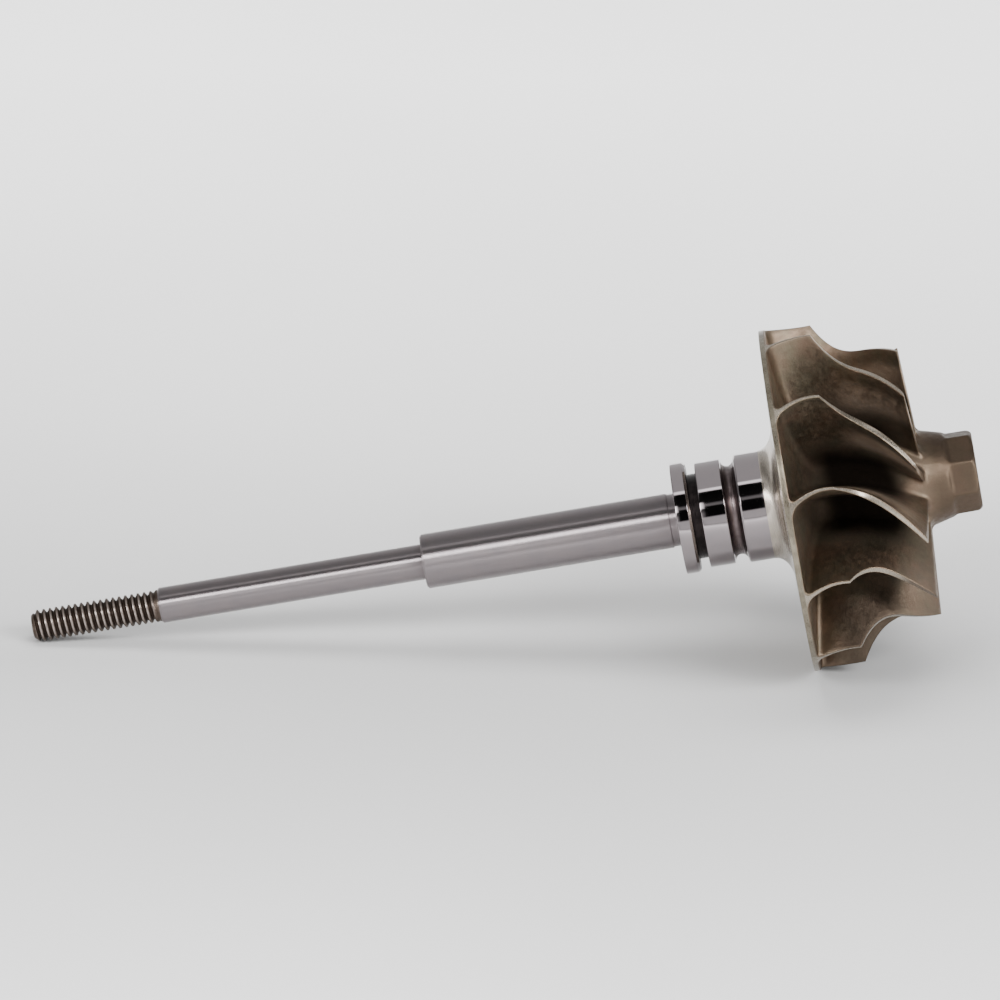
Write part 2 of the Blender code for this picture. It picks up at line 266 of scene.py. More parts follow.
class RotorFinish(bpy.types.PropertyGroup):
    cast_brown: FloatVectorProperty(
        name="Cast brown", description="Warm tone of the cast wheel",
        default=(0.232, 0.165, 0.119), subtype="COLOR", min=0.0, max=1.0)
    cast_olive: FloatVectorProperty(
        name="Cast olive", description="Cooler tone of the cast wheel",
        default=(0.185, 0.156, 0.111), subtype="COLOR", min=0.0, max=1.0)
    ground_edge: FloatVectorProperty(
        name="Ground edge", description="Colour of the wheel where it is ground",
        default=(0.35, 0.31, 0.255), subtype="COLOR", min=0.0, max=1.0)
    turned_alloy: FloatVectorProperty(
        name="Turned alloy", description="Colour of the wheel's turned back and boss",
        default=(0.46, 0.41, 0.36), subtype="COLOR", min=0.0, max=1.0)
    shaft_steel: FloatVectorProperty(
        name="Shaft steel", description="Colour of the ground shaft",
        default=(0.28, 0.252, 0.261), subtype="COLOR", min=0.0, max=1.0)
    thread_stain: FloatVectorProperty(
        name="Thread stain", description="Dark stain in the roots of the thread",
        default=(0.075, 0.055, 0.043), subtype="COLOR", min=0.0, max=1.0)
    cast_roughness: FloatProperty(
        name="Cast roughness", description="Mean roughness of the cast surface",
        default=0.44, subtype="FACTOR", min=0.0, max=1.0)
    steel_roughness: FloatProperty(
        name="Steel roughness", description="Roughness of the ground steel",
        default=0.38, subtype="FACTOR", min=0.0, max=1.0)


class RotorStage(bpy.types.PropertyGroup):
    lens: FloatProperty(
        name="Lens", description="Focal length of the camera, in millimetres", default=360.0)
    distance: FloatProperty(
        name="Distance", description="Distance from the camera to the wheel's disc",
        default=1.56, unit="LENGTH", subtype="DISTANCE")
    slope: FloatProperty(
        name="Slope", description="Rise of the spin axis in the picture",
        default=math.radians(9.47), subtype="ANGLE")
    lean: FloatProperty(
        name="Lean", description="Turn of the nose towards the camera, less than zero for away",
        default=math.radians(2.8), subtype="ANGLE")
    lift: FloatProperty(
        name="Lift", description="How far the camera looks down on the spin axis",
        default=math.radians(22.4), subtype="ANGLE")
    disc_in_picture: FloatVectorProperty(
        name="Disc in picture", description="The disc's middle, as shares of the picture's width",
        size=2, default=(0.2917, -0.0003))
    key_power: FloatProperty(
        name="Key power", description="Power of each of the three large softboxes, in watts",
        default=14.5)
    surround_strength: FloatProperty(
        name="Surround", description="Brightness of the pale surround", default=0.85)
    floor_colour: FloatVectorProperty(
        name="Floor", description="Colour of the pale floor",
        default=(0.94, 0.94, 0.94), subtype="COLOR", min=0.0, max=1.0)


def spin_axis_matrix():
    """Places a piece's own X axis along the spin axis, from the thread's end."""
    start = MOUNTS["thread_end_face"]
    along = (MOUNTS["nose_end_face"] - start).normalized()
    across = Vector((0.0, 1.0, 0.0))
    up = along.cross(across)
    turn = Matrix((along, across, up)).transposed().to_4x4()
    return Matrix.Translation(start) @ turn


def round_points(station, radius, angle):
    """Points round the spin axis, in metres. The angle runs from up towards the front."""
    station, radius, angle = np.broadcast_arrays(station, radius, angle)
    points = (station, -radius * np.sin(angle), radius * np.cos(angle))
    return np.stack(points, axis=-1) * MM


def closed_angles(angles):
    """The same angles with the first one repeated a full turn on, so a patch closes."""
    return np.append(angles, angles[0] + 2.0 * math.pi)


def even_angles(count=ROUND_COLUMNS):
    return np.arange(count) * 2.0 * math.pi / count


def lathe(outline, angles):
    """A patch of points turned from an outline of (station, radius)."""
    outline = np.array(outline)
    return round_points(outline[:, :1], outline[:, 1:], closed_angles(angles)[None, :])


def rounded_outline(corners, steps=5):
    """An outline of (station, radius, round) corners with each corner's round worked in."""
    points = []
    for index, (station, radius, size) in enumerate(corners):
        here = np.array((station, radius))
        if size == 0.0 or index in (0, len(corners) - 1):
            points.append(here)
            continue
        before = np.array(corners[index - 1][:2]) - here
        after = np.array(corners[index + 1][:2]) - here
        before_length = np.linalg.norm(before)
        after_length = np.linalg.norm(after)
        between = math.acos(np.clip(before @ after / (before_length * after_length), -1.0, 1.0))
        reach = min(size / math.tan(between / 2.0), 0.48 * before_length, 0.48 * after_length)
        start = here + before / before_length * reach
        end = here + after / after_length * reach
        for step in range(steps + 1):
            share = step / steps
            points.append((1 - share) ** 2 * start + 2 * share * (1 - share) * here
                          + share ** 2 * end)
    return np.array(points)


def piece_from_patches(name, patches, materials):
    """One closed mesh from patches of points, each with the number of its material."""
    points = []
    faces = []
    slots = []
    for patch, slot in patches:
        rows, columns = patch.shape[:2]
        first = sum(len(block) for block in points)
        points.append(patch.reshape(-1, 3))
        index = first + np.arange(rows * columns).reshape(rows, columns)
        quads = np.stack((index[:-1, :-1], index[:-1, 1:], index[1:, 1:], index[1:, :-1]), axis=-1)
        faces += quads.reshape(-1, 4).tolist()
        slots += [slot] * ((rows - 1) * (columns - 1))
    mesh = bpy.data.meshes.new(name)
    mesh.from_pydata(np.vstack(points).tolist(), [], faces)
    mesh.polygons.foreach_set("material_index", slots)
    for material in materials:
        mesh.materials.append(material)
    work = bmesh.new()
    work.from_mesh(mesh)
    bmesh.ops.remove_doubles(work, verts=work.verts, dist=MERGE_DISTANCE)
    bmesh.ops.recalc_face_normals(work, faces=work.faces)
    work.to_mesh(mesh)
    work.free()
    mesh.shade_smooth()
    mesh.set_sharp_from_angle(angle=math.radians(SHARP_ANGLE))
    piece = bpy.data.objects.new(name, mesh)
    bpy.context.scene.collection.objects.link(piece)
    piece.matrix_world = spin_axis_matrix()
    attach(piece, "root")
    return piece


def node(tree, kind, inputs=None, **settings):
    """Adds a node, sets its options, and sets or links each input that is given."""
    made = tree.nodes.new(kind)
    for option, value in settings.items():
        setattr(made, option, value)
    for key, value in (inputs or {}).items():
        if isinstance(value, bpy.types.NodeSocket):
            tree.links.new(value, made.inputs[key])
        else:
            made.inputs[key].default_value = value
    return made


def new_finish(name):
    """A node material with a metallic shader, its tree, and millimetre coordinates."""
    material = bpy.data.materials.new(name)
    material.use_nodes = True
    tree = material.node_tree
    shader = tree.nodes["Principled BSDF"]
    shader.inputs["Metallic"].default_value = 1.0
    place = node(tree, "ShaderNodeTexCoord").outputs["Object"]
    place = node(tree, "ShaderNodeVectorMath", {0: place, "Scale": 1.0 / MM},
                 operation="SCALE").outputs["Vector"]
    return material, tree, shader, place


def turned_place(tree, place, drift=0.05):
    """Coordinates of (along, outward) on a turned surface, with a slight drift across."""
    split = node(tree, "ShaderNodeSeparateXYZ", {"Vector": place})
    flat = node(tree, "ShaderNodeCombineXYZ",
                {"Y": split.outputs["Y"], "Z": split.outputs["Z"]}).outputs["Vector"]
    outward = node(tree, "ShaderNodeVectorMath", {0: flat}, operation="LENGTH").outputs["Value"]
    across = product(tree, split.outputs["Y"], drift)
    joined = node(tree, "ShaderNodeCombineXYZ",
                  {"X": split.outputs["X"], "Y": outward, "Z": across}).outputs["Vector"]
    return joined, outward


def noise(tree, place, scale, detail=4.0, roughness=0.55):
    return node(tree, "ShaderNodeTexNoise",
                {"Vector": place, "Scale": scale, "Detail": detail,
                 "Roughness": roughness}).outputs["Fac"]


def ranged(tree, value, low, high, new_low, new_high, easing="LINEAR"):
    return node(tree, "ShaderNodeMapRange",
                {"Value": value, "From Min": low, "From Max": high, "To Min": new_low,
                 "To Max": new_high}, interpolation_type=easing).outputs["Result"]


def faded(tree, value, low, high, new_low, new_high):
    """The same as ranged, but easing in and out."""
    return ranged(tree, value, low, high, new_low, new_high, "SMOOTHSTEP")


def coordinate(tree, place, axis):
    return node(tree, "ShaderNodeSeparateXYZ", {"Vector": place}).outputs[axis]


def reckoned(tree, operation, *values, **settings):
    """What a Math node makes of one or two values or sockets."""
    return node(tree, "ShaderNodeMath", dict(enumerate(values)), operation=operation,
                **settings).outputs["Value"]


def product(tree, first, second):
    return reckoned(tree, "MULTIPLY", first, second)


def stations(places):
    """A span of places in front of the wheel's back plane, as stations on the spin axis."""
    return WHEEL_BACK + places[0], WHEEL_BACK + places[1]


def mixed(tree, share, first, second):
    """A mix of two colours, given as values or as sockets."""
    mix = node(tree, "ShaderNodeMix", {"Factor": share}, data_type="RGBA")
    for socket, colour in ((mix.inputs[6], first), (mix.inputs[7], second)):
        if isinstance(colour, bpy.types.NodeSocket):
            tree.links.new(colour, socket)
        else:
            socket.default_value = (*colour, 1.0)
    return mix.outputs[2]


def raised(tree, height, distance, under=None):
    """A bump from a height, in millimetres of depth, over an earlier bump."""
    inputs = {"Height": height, "Distance": distance * MM, "Strength": 1.0}
    if under is not None:
        inputs["Normal"] = under
    return node(tree, "ShaderNodeBump", inputs).outputs["Normal"]


def wire_up(tree, shader, **sockets):
    for socket, value in sockets.items():
        tree.links.new(value, shader.inputs[socket.replace("_", " ")])


def cast_alloy(finish):
    """Satin investment-cast alloy: fine grain and brown stains, with painted light on the upper flanks,
    painted shade low down under the blades and deep in the passages, and a darker tone towards the nose.
    """
    material, tree, shader, place = new_finish("cast_alloy")
    tone = ranged(tree, noise(tree, place, 0.22, 5.0), 0.36, 0.64, 0.0, 1.0)
    colour = mixed(tree, tone, tuple(finish.cast_brown), tuple(finish.cast_olive))
    stain = ranged(tree, noise(tree, place, 0.55, 6.0, 0.65), 0.5, 0.78, 0.0, 0.6)
    colour = mixed(tree, stain, colour, CAST_STAIN)
    grain = noise(tree, place, 5.5, 3.0, 0.6)
    speck = ranged(tree, grain, 0.62, 0.74, 0.0, 0.28)
    colour = mixed(tree, speck, colour, CAST_SPECK)
    _, outward = turned_place(tree, place)
    along, upward = coordinate(tree, place, "X"), coordinate(tree, place, "Z")
    # Painted light: the upper flanks, part way out from the hub and towards the exit, are made paler
    pale = product(tree, faded(tree, outward, *FLANK_OUTWARD, 0.0, 0.95),
                   faded(tree, outward, *FLANK_OUTWARD_END, 1.0, 0.0))
    pale = product(tree, pale, faded(tree, along, *stations(FLANK_PLACES), 0.0, 1.0))
    pale = product(tree, pale, faded(tree, upward, *FLANK_UPWARD, 0.0, 1.0))
    colour = mixed(tree, pale, colour, PAINTED_LIGHT_FLANK)
    # Painted shade: the lower side across the spin axis is darkened, most between places 7 and 12
    under = product(tree, faded(tree, upward, *UNDERSIDE_UPWARD, 0.87, 0.0),
                    faded(tree, along, *stations(UNDERSIDE_PLACES_END), 1.0, 0.3))
    under = product(tree, under, faded(tree, along, *stations(UNDERSIDE_PLACES), 0.4, 1.0))
    colour = mixed(tree, under, colour, PAINTED_SHADE_UNDER)
    # Painted shade deep in the passages near the hub, its edge drifting with noise; the same mask makes
    # it rougher
    drift = ranged(tree, noise(tree, place, 0.09, 2.0), 0.3, 0.7, -1.0, 1.0)
    drifted_out = reckoned(tree, "ADD", outward, drift)
    drifted_along = reckoned(tree, "ADD", along, drift)
    passage_shade = product(tree, faded(tree, drifted_out, *PASSAGE_OUTWARD, 0.97, 0.0),
                   faded(tree, drifted_along, *stations(PASSAGE_PLACES_END), 1.0, 0.0))
    passage_shade = product(tree, passage_shade, faded(tree, drifted_along, *stations(PASSAGE_PLACES), 0.0, 1.0))
    colour = mixed(tree, passage_shade, colour, PASSAGE_PAINTED_SHADE)
    # Darker towards the nose, from near the blades' exit on
    on_nose = ranged(tree, along, *stations(NOSE_PLACES), 0.0, 0.82)
    colour = mixed(tree, on_nose, colour, NOSE_DARKER_TONE)
    base = finish.cast_roughness
    rough = ranged(tree, noise(tree, place, 1.3, 5.0), 0.3, 0.7, base - 0.08, base + 0.1)
    rough = node(tree, "ShaderNodeMix", {"Factor": passage_shade, "A": rough, "B": 0.9}).outputs["Result"]
    waves = raised(tree, noise(tree, place, 0.8, 3.0), 0.06)
    wire_up(tree, shader, Base_Color=colour, Roughness=rough,
            Normal=raised(tree, grain, 0.014, waves))
    return material


def turned_alloy(finish):
    """Turned back face and boss of the casting: pale satin with fine rings."""
    material, tree, shader, place = new_finish("turned_alloy")
    turned, _ = turned_place(tree, place)
    rings = noise(tree, turned, 7.0, 3.0, 0.65)
    tone = ranged(tree, noise(tree, place, 0.4, 4.0), 0.35, 0.68, 0.0, 0.7)
    colour = mixed(tree, tone, tuple(finish.turned_alloy), TURNED_TARNISH)
    rough = ranged(tree, rings, 0.3, 0.7, 0.2, 0.3)
    wire_up(tree, shader, Base_Color=colour, Roughness=rough,
            Normal=raised(tree, rings, 0.004))
    return material


def ground_edge(finish):
    """Bright ground metal on the rim and the blades' free edges, with painted shade on the lower edges
    towards the exit.
    """
    material, tree, shader, place = new_finish("ground_edge")
    turned, _ = turned_place(tree, place, 0.4)
    lines = noise(tree, turned, 9.0, 3.0)
    tone = ranged(tree, noise(tree, place, 0.9, 5.0), 0.4, 0.72, 0.0, 0.75)
    colour = mixed(tree, tone, tuple(finish.ground_edge), EDGE_TARNISH)
    # Painted shade: the ground edges low down across the spin axis, towards the exit, are darkened
    edge_shade = product(tree, faded(tree, coordinate(tree, place, "X"), *stations(EDGE_SHADE_PLACES), 0.0, 0.95),
                   faded(tree, coordinate(tree, place, "Z"), *EDGE_SHADE_UPWARD, 1.0, 0.0))
    colour = mixed(tree, edge_shade, colour, EDGE_PAINTED_SHADE)
    rough = ranged(tree, lines, 0.3, 0.7, 0.22, 0.34)
    wire_up(tree, shader, Base_Color=colour, Roughness=rough,
            Normal=raised(tree, lines, 0.004))
    return material


def rim_band():
    """The disc's rim, turned once and since tarnished to a brassy olive."""
    material, tree, shader, place = new_finish("rim_band")
    turned, _ = turned_place(tree, place, 0.4)
    lines = noise(tree, turned, 9.0, 3.0)
    tone = ranged(tree, noise(tree, place, 0.7, 5.0), 0.35, 0.7, 0.0, 1.0)
    colour = mixed(tree, tone, RIM_OLIVE, RIM_TARNISH)
    wire_up(tree, shader, Base_Color=colour, Roughness=ranged(tree, lines, 0.3, 0.7, 0.24, 0.36),
            Normal=raised(tree, lines, 0.0008))
    return material


def ground_steel(finish, name, roughness, line_scale, line_depth, dulling, smear):
    """Steel ground on centres: fine rings, with faint duller and darker bands."""
    material, tree, shader, place = new_finish(name)
    turned, _ = turned_place(tree, place)
    fine = noise(tree, turned, line_scale, 4.0, 0.7)
    bands = noise(tree, turned, 0.9, 3.0)
    cloud = noise(tree, place, 0.35, 4.0)
    tone = ranged(tree, cloud, 0.35, 0.7, 0.0, dulling)
    colour = mixed(tree, tone, tuple(finish.shaft_steel), STEEL_CLOUD)
    streak = ranged(tree, bands, 0.5, 0.75, 0.0, dulling * 0.6)
    colour = mixed(tree, streak, colour, STEEL_STREAK)
    rough = ranged(tree, fine, 0.25, 0.75, roughness * 0.8, roughness * 1.35)
    round_way = node(tree, "ShaderNodeTangent", direction_type="RADIAL", axis="X").outputs["Tangent"]
    shader.inputs["Anisotropic"].default_value = smear
    shader.inputs["Anisotropic Rotation"].default_value = 0.25
    wire_up(tree, shader, Base_Color=colour, Roughness=rough, Tangent=round_way,
            Normal=raised(tree, fine, line_depth))
    return material


def groove_steel():
    """Painted shade and dark oxide deep in the grooves between the collars, browner in the round one."""
    material, tree, shader, place = new_finish("groove_steel")
    turned, _ = turned_place(tree, place)
    rings = noise(tree, turned, 6.0, 3.0)
    tone = ranged(tree, noise(tree, place, 0.7, 4.0), 0.35, 0.7, 0.0, 1.0)
    ring_groove = mixed(tree, tone, *RING_GROOVE_SHADE_AND_OXIDE)
    oil_groove = mixed(tree, tone, *OIL_GROOVE_SHADE_AND_OXIDE)
    in_oil_groove = ranged(tree, coordinate(tree, place, "X"), LAND_START, LAND_END, 0.0, 1.0)
    colour = mixed(tree, in_oil_groove, ring_groove, oil_groove)
    wire_up(tree, shader, Base_Color=colour, Roughness=ranged(tree, rings, 0.3, 0.7, 0.25, 0.45),
            Normal=raised(tree, rings, 0.005))
    return material


def thread_steel(finish):
    """Rolled thread with pale crests and brown stain kept in its roots, the crests lighter still where
    they face the front and top, a painted highlight.
    """
    material, tree, shader, place = new_finish("thread_steel")
    _, outward = turned_place(tree, place)
    crest = ranged(tree, outward, 2.15, 2.48, 0.0, 1.0)
    patch = ranged(tree, noise(tree, place, 1.6, 5.0), 0.3, 0.7, -0.35, 0.2)
    crest = reckoned(tree, "ADD", crest, patch, use_clamp=True)
    # Painted highlight: crests facing the front and top are lighter
    towards_front = node(tree, "ShaderNodeVectorMath", {0: place, 1: HIGHLIGHT_WAY},
                         operation="DOT_PRODUCT").outputs["Value"]
    painted_highlight = ranged(tree, towards_front, 1.35, 2.35, 0.12, 1.0)
    crest = product(tree, crest, painted_highlight)
    colour = mixed(tree, crest, tuple(finish.thread_stain), THREAD_CREST)
    along = coordinate(tree, place, "X")
    run_out = ranged(tree, along, THREAD_END - 1.3, THREAD_END - 0.7, 0.0, 0.85)
    colour = mixed(tree, run_out, colour, tuple(finish.thread_stain))
    rough = ranged(tree, crest, 0.0, 1.0, 0.5, 0.3)
    wire_up(tree, shader, Base_Color=colour, Roughness=rough,
            Normal=raised(tree, noise(tree, place, 8.0, 3.0), 0.006))
    return material


def thread_height(samples=400, window=26):
    """Height of the thread over one pitch, with its corners smoothed, as a table."""
    places = np.linspace(0.0, 1.0, samples, endpoint=False)
    heights = np.interp(places, *zip(*THREAD_TURN))
    blur = np.hanning(window)
    padded = np.concatenate((heights[-window:], heights, heights[:window]))
    smooth = np.convolve(padded, blur / blur.sum(), mode="same")[window:-window]
    return places, smooth


def thread_patches(sizes):
    """The helical skin of the thread, from its chamfered tip to its run-out."""
    pitch = sizes.thread_pitch / MM
    places, heights = thread_height()
    turns = int(THREAD_END / pitch) + 3
    level = np.arange(-THREAD_LEVELS, turns * THREAD_LEVELS)[:, None] / THREAD_LEVELS
    column = np.arange(THREAD_COLUMNS + 1)[None, :] / THREAD_COLUMNS
    station = (level + column) * pitch
    height = np.interp(np.broadcast_to(level % 1.0, station.shape), places, heights, period=1.0)
    clamped = np.clip(station, 0.0, THREAD_END)
    run_out = np.minimum(1.0, (THREAD_END - clamped) / (THREAD_RUN_OUT * pitch))
    radius = THREAD_RADIUS - THREAD_DEPTH * (1.0 - height) * run_out
    radius = np.minimum(radius, THREAD_TIP_RADIUS + THREAD_TIP_SLOPE * clamped)
    return round_points(clamped, radius, 2.0 * math.pi * column)


def wheel_curves(sizes):
    """Fine tables of the hub's outline and of the blades' free edge, as (place, radius)."""
    wheel = sizes.wheel_radius / MM
    tip = sizes.exducer_radius / MM
    radii = np.concatenate((np.linspace(wheel - RIM_CORNER, 12.0, 90), np.geomspace(11.9, 9.05, 40)))
    share = (radii - HUB_WAIST) / DISC_CURVE_RISE
    disc = np.stack((DISC_CURVE_END - DISC_CURVE_LENGTH * share ** (1.0 / 3.0), radii), axis=-1)
    hub = smooth_curve(np.vstack((disc[-1:], HUB_FROM_DISC)), 24)
    front = disc[0, 0]
    turn = np.radians(RIM_TURNS)
    arc = np.stack((front - RIM_CORNER + RIM_CORNER * np.sin(turn),
                    wheel - RIM_CORNER + RIM_CORNER * np.cos(turn)), axis=-1)
    place = np.linspace(INDUCER_END, EXIT_TIP, 160)
    rest = np.clip(1.0 - (place - INDUCER_END) / (SHROUD_FLAT - INDUCER_END), 0.0, 1.0)
    shroud = np.stack((place, tip + (wheel - tip) * rest ** SHROUD_CURVE_POWER), axis=-1)
    return np.vstack((arc, disc, hub[1:])), shroud


def smooth_curve(points, steps):
    """A smooth curve through points, with a number of steps between each two."""
    points = np.array(points)
    padded = np.vstack((2 * points[0] - points[1], points, 2 * points[-1] - points[-2]))
    made = []
    for index in range(1, len(padded) - 2):
        p0, p1, p2, p3 = padded[index - 1:index + 3]
        for step in range(steps):
            t = step / steps
            made.append(0.5 * (2 * p1 + (p2 - p0) * t + (2 * p0 - 5 * p1 + 4 * p2 - p3) * t ** 2
                               + (3 * p1 - p0 - 3 * p2 + p3) * t ** 3))
    made.append(points[-1])
    return np.array(made)


def lengths_along(curve):
    steps = np.linalg.norm(np.diff(curve, axis=0), axis=1)
    return np.concatenate(([0.0], np.cumsum(steps)))


def point_along(curve, lengths, length):
    return np.array([np.interp(length, lengths, curve[:, 0]),
                     np.interp(length, lengths, curve[:, 1])])


def camber(place):
    """Angle of a blade's middle at a place, from where its line runs straight."""
    return np.radians(CAMBER_RATE * (place - CAMBER_PLACE) ** 2)


def quarter_loss(share):
    """How much a rounded edge narrows, as a share of its radius, near its end."""
    return 1.0 - math.sqrt(max(0.0, 1.0 - (1.0 - share) ** 2))


def blade_rows(sizes):
    """Root and tip of each line across a blade, from the rim to the exit."""
    hub, shroud = wheel_curves(sizes)
    hub_lengths = lengths_along(hub)
    shroud_lengths = lengths_along(shroud)
    rows = []
    for index, turn in enumerate(RIM_TURNS):
        root = hub[index]
        tip_length = np.interp(-root[1], -shroud[:, 1], shroud_lengths)
        tip = point_along(shroud, shroud_lengths, tip_length)
        rows.append((root, tip, 1.0 - math.sin(math.radians(turn))))
    first = len(RIM_TURNS)
    hub_end = np.interp(EXIT_ROOT - TRAILING_ROUND, hub[first:, 0], hub_lengths[first:])
    shroud_start = np.interp(-hub[first, 1], -shroud[:, 1], shroud_lengths)
    shroud_end = np.interp(EXIT_TIP - TRAILING_ROUND, shroud[:, 0], shroud_lengths)
    for row in range(BLADE_ROWS):
        share = row / BLADE_ROWS
        hub_length = hub_lengths[first] + (hub_end - hub_lengths[first]) * share ** 1.1
        shroud_length = shroud_start + (shroud_end - shroud_start) * share
        rows.append((point_along(hub, hub_lengths, hub_length),
                     point_along(shroud, shroud_lengths, shroud_length), 0.0))
    return hub, shroud, rows


def blade_levels(length, fillet):
    """Heights above the hub, the fillet's flare and the edge's share left at each level."""
    levels = []
    for step in range(FILLET_STEPS):
        turn = 0.5 * math.pi * step / FILLET_STEPS
        levels.append((fillet * (1.0 - math.cos(turn)), fillet * (1.0 - math.sin(turn)), 1.0))
    for step in range(FLANK_LEVELS):
        share = step / (FLANK_LEVELS - 1)
        levels.append((fillet + (length - EDGE_ROUND - fillet) * share, 0.0, 1.0))
    levels += [(length - share * EDGE_ROUND, 0.0, share) for share in TIP_SHARES]
    return levels


def blade_grid(sizes):
    """Places, radii and half angles over a blade: rows run to the exit, columns to the tip."""
    hub, shroud, rows = blade_rows(sizes)
    lines = [(root, tip, loss, None) for root, tip, loss in rows]
    places, radii = hub[len(RIM_TURNS):].T
    end_root = np.array((EXIT_ROOT, np.interp(EXIT_ROOT, places, radii)))
    end_tip = np.array((EXIT_TIP, shroud[-1, 1]))
    lines += [(end_root, end_tip, 0.0, share) for share in TRAILING_SHARES]
    grid = []
    for root, tip, loss, end_share in lines:
        length = np.linalg.norm(tip - root)
        fillet = np.interp(root[0], *ROOT_FILLETS)
        tip_thickness = np.interp(tip[0], *TIP_THICKNESSES)
        root_thickness = np.interp(root[0], *ROOT_THICKNESSES)
        line = []
        for height, flare, left in blade_levels(length, fillet):
            share = height / length
            place, radius = root + (tip - root) * share
            narrowing = max(EDGE_ROUND * quarter_loss(left), EDGE_ROUND * loss)
            if end_share is not None:
                corner = TRAILING_ROUND + flare
                place += flare - end_share * corner
                drop = np.interp(place, places, radii) - root[1]
                radius += drop * max(0.0, 1.0 - height / fillet)
                narrowing = max(narrowing, corner * quarter_loss(end_share))
            thickening = (1.0 - share) ** THICKENING_POWER
            thickness = tip_thickness + (root_thickness - tip_thickness) * thickening
            slope = np.radians(2.0 * CAMBER_RATE * (place - CAMBER_PLACE))
            slant = math.sqrt(1.0 + (radius * slope) ** 2)
            half = max(THINNEST_HALF, 0.5 * thickness + flare - narrowing) * slant / radius
            line.append((place, radius, half))
        grid.append(line)
    return np.array(grid)


def wheel_patches(sizes):
    """Blades, passages, rim, back face, boss, neck and nose of the wheel."""
    grid = blade_grid(sizes)
    place, radius, half = grid[..., 0], grid[..., 1], grid[..., 2]
    station = WHEEL_BACK + place
    middle = camber(place)
    pitch = 2.0 * math.pi / sizes.blade_count
    patches = []
    rim_angles = []
    exit_angles = []
    across_edge = np.linspace(-1.0, 1.0, EDGE_COLUMNS + 1)
    across_floor = np.linspace(0.0, 1.0, PASSAGE_COLUMNS + 1)
    for blade in range(sizes.blade_count):
        angle = middle + blade * pitch
        for side in (-1.0, 1.0):
            patches.append((round_points(station, radius, angle + side * half), CAST))
        edges = ((station[0], radius[0], angle[0], half[0], GROUND),
                 (station[:, -1], radius[:, -1], angle[:, -1], half[:, -1], GROUND),
                 (station[-1], radius[-1], angle[-1], half[-1], CAST))
        for edge_station, edge_radius, edge_angle, edge_half, slot in edges:
            spread = edge_angle[:, None] + edge_half[:, None] * across_edge
            patches.append((round_points(edge_station[:, None], edge_radius[:, None], spread), slot))
        near = angle[:, :1] + half[:, :1]
        far = angle[:, :1] + pitch - half[:, :1]
        spread = near + (far - near) * across_floor
        patches.append((round_points(station[:, :1], radius[:, :1], spread), CAST))
        for ring, row in ((rim_angles, 0), (exit_angles, -1)):
            start = angle[row, 0]
            ring.append(start + half[row, 0] * across_edge[:-1])
            ring.append(spread[row, :-1])
    rim_angles = np.concatenate(rim_angles)
    exit_angles = np.concatenate(exit_angles)
    patches += rim_and_back(sizes, station[0, 0], rim_angles)
    patches += neck_and_nose(sizes, station[-1, 0], radius[-1, 0], exit_angles)
    return patches


def rim_and_back(sizes, rim_front, angles):
    """The rim's ground band, the dished back face, and the boss as far as the weld."""
    wheel = sizes.wheel_radius / MM
    lip = (WHEEL_BACK, wheel - RIM_BACK_LIP)
    band = rounded_outline(((rim_front, wheel, 0.0), (WHEEL_BACK, wheel, RIM_BACK_ROUND), (*lip, 0.0)))
    turns = np.linspace(0.0, 0.5 * math.pi, 14)
    fillet = [(WELD + BOSS_FILLET_START + BOSS_FILLET_LENGTH * math.sin(turn),
               BOSS_RADIUS + BOSS_FILLET_RISE * (1.0 - math.cos(turn))) for turn in turns[::-1]]
    face = [lip, (WHEEL_BACK + BACK_LIP_END[0], wheel - BACK_LIP_END[1])]
    face += [(WHEEL_BACK + place, radius) for place, radius in BACK_FACE] + fillet
    boss = [fillet[-1], (WELD + 0.4, BOSS_RADIUS), (WELD, BOSS_RADIUS)]
    cap = [(WELD, BOSS_RADIUS), (WELD, BOSS_CAP_RING), (WELD, AXIS_RADIUS)]
    return [(lathe(band, angles), RIM), (lathe(face, angles), TURNED),
            (lathe(boss, angles), POLISHED), (lathe(cap, angles), POLISHED)]


def nose_radius(angles, corner, flat):
    """Radius of the nose's eight flats, cut from a round of a given radius."""
    side = 2.0 * math.pi / NOSE_FLATS
    from_flat = (angles - math.radians(NOSE_CORNER)) % side - side / 2.0
    return np.minimum(corner, flat / np.cos(from_flat))


def neck_and_nose(sizes, start, start_radius, exit_angles):
    """The turned neck, blended from the blades' ring of points to the eight-sided nose."""
    column = 2.0 * math.pi / len(exit_angles)
    corner = math.radians(NOSE_CORNER)
    first = corner + round((exit_angles[0] - corner) / column) * column
    even = first + np.arange(len(exit_angles)) * column
    hub, _ = wheel_curves(sizes)
    places = np.linspace(start - WHEEL_BACK, NECK_END, NECK_ROWS)
    on_hub = np.interp(places, *hub[len(RIM_TURNS):].T)
    neck = np.stack((WHEEL_BACK + places, on_hub), axis=-1)
    neck[0, 1] = start_radius
    rows = []
    for index, (station, radius) in enumerate(neck):
        share = index / (len(neck) - 1)
        angles = closed_angles(exit_angles + (even - exit_angles) * share)
        rows.append(round_points(station, radius, angles))
    around = closed_angles(even)
    for place, round_radius, flat in NOSE_OUTLINE:
        radii = nose_radius(around, round_radius, flat)
        rows.append(round_points(WHEEL_BACK + place, radii, around))
    return [(np.stack(rows), CAST)]


def rotor_settings():
    scene = bpy.context.scene
    return scene.rotor_sizes, scene.rotor_finish, scene.rotor_stage


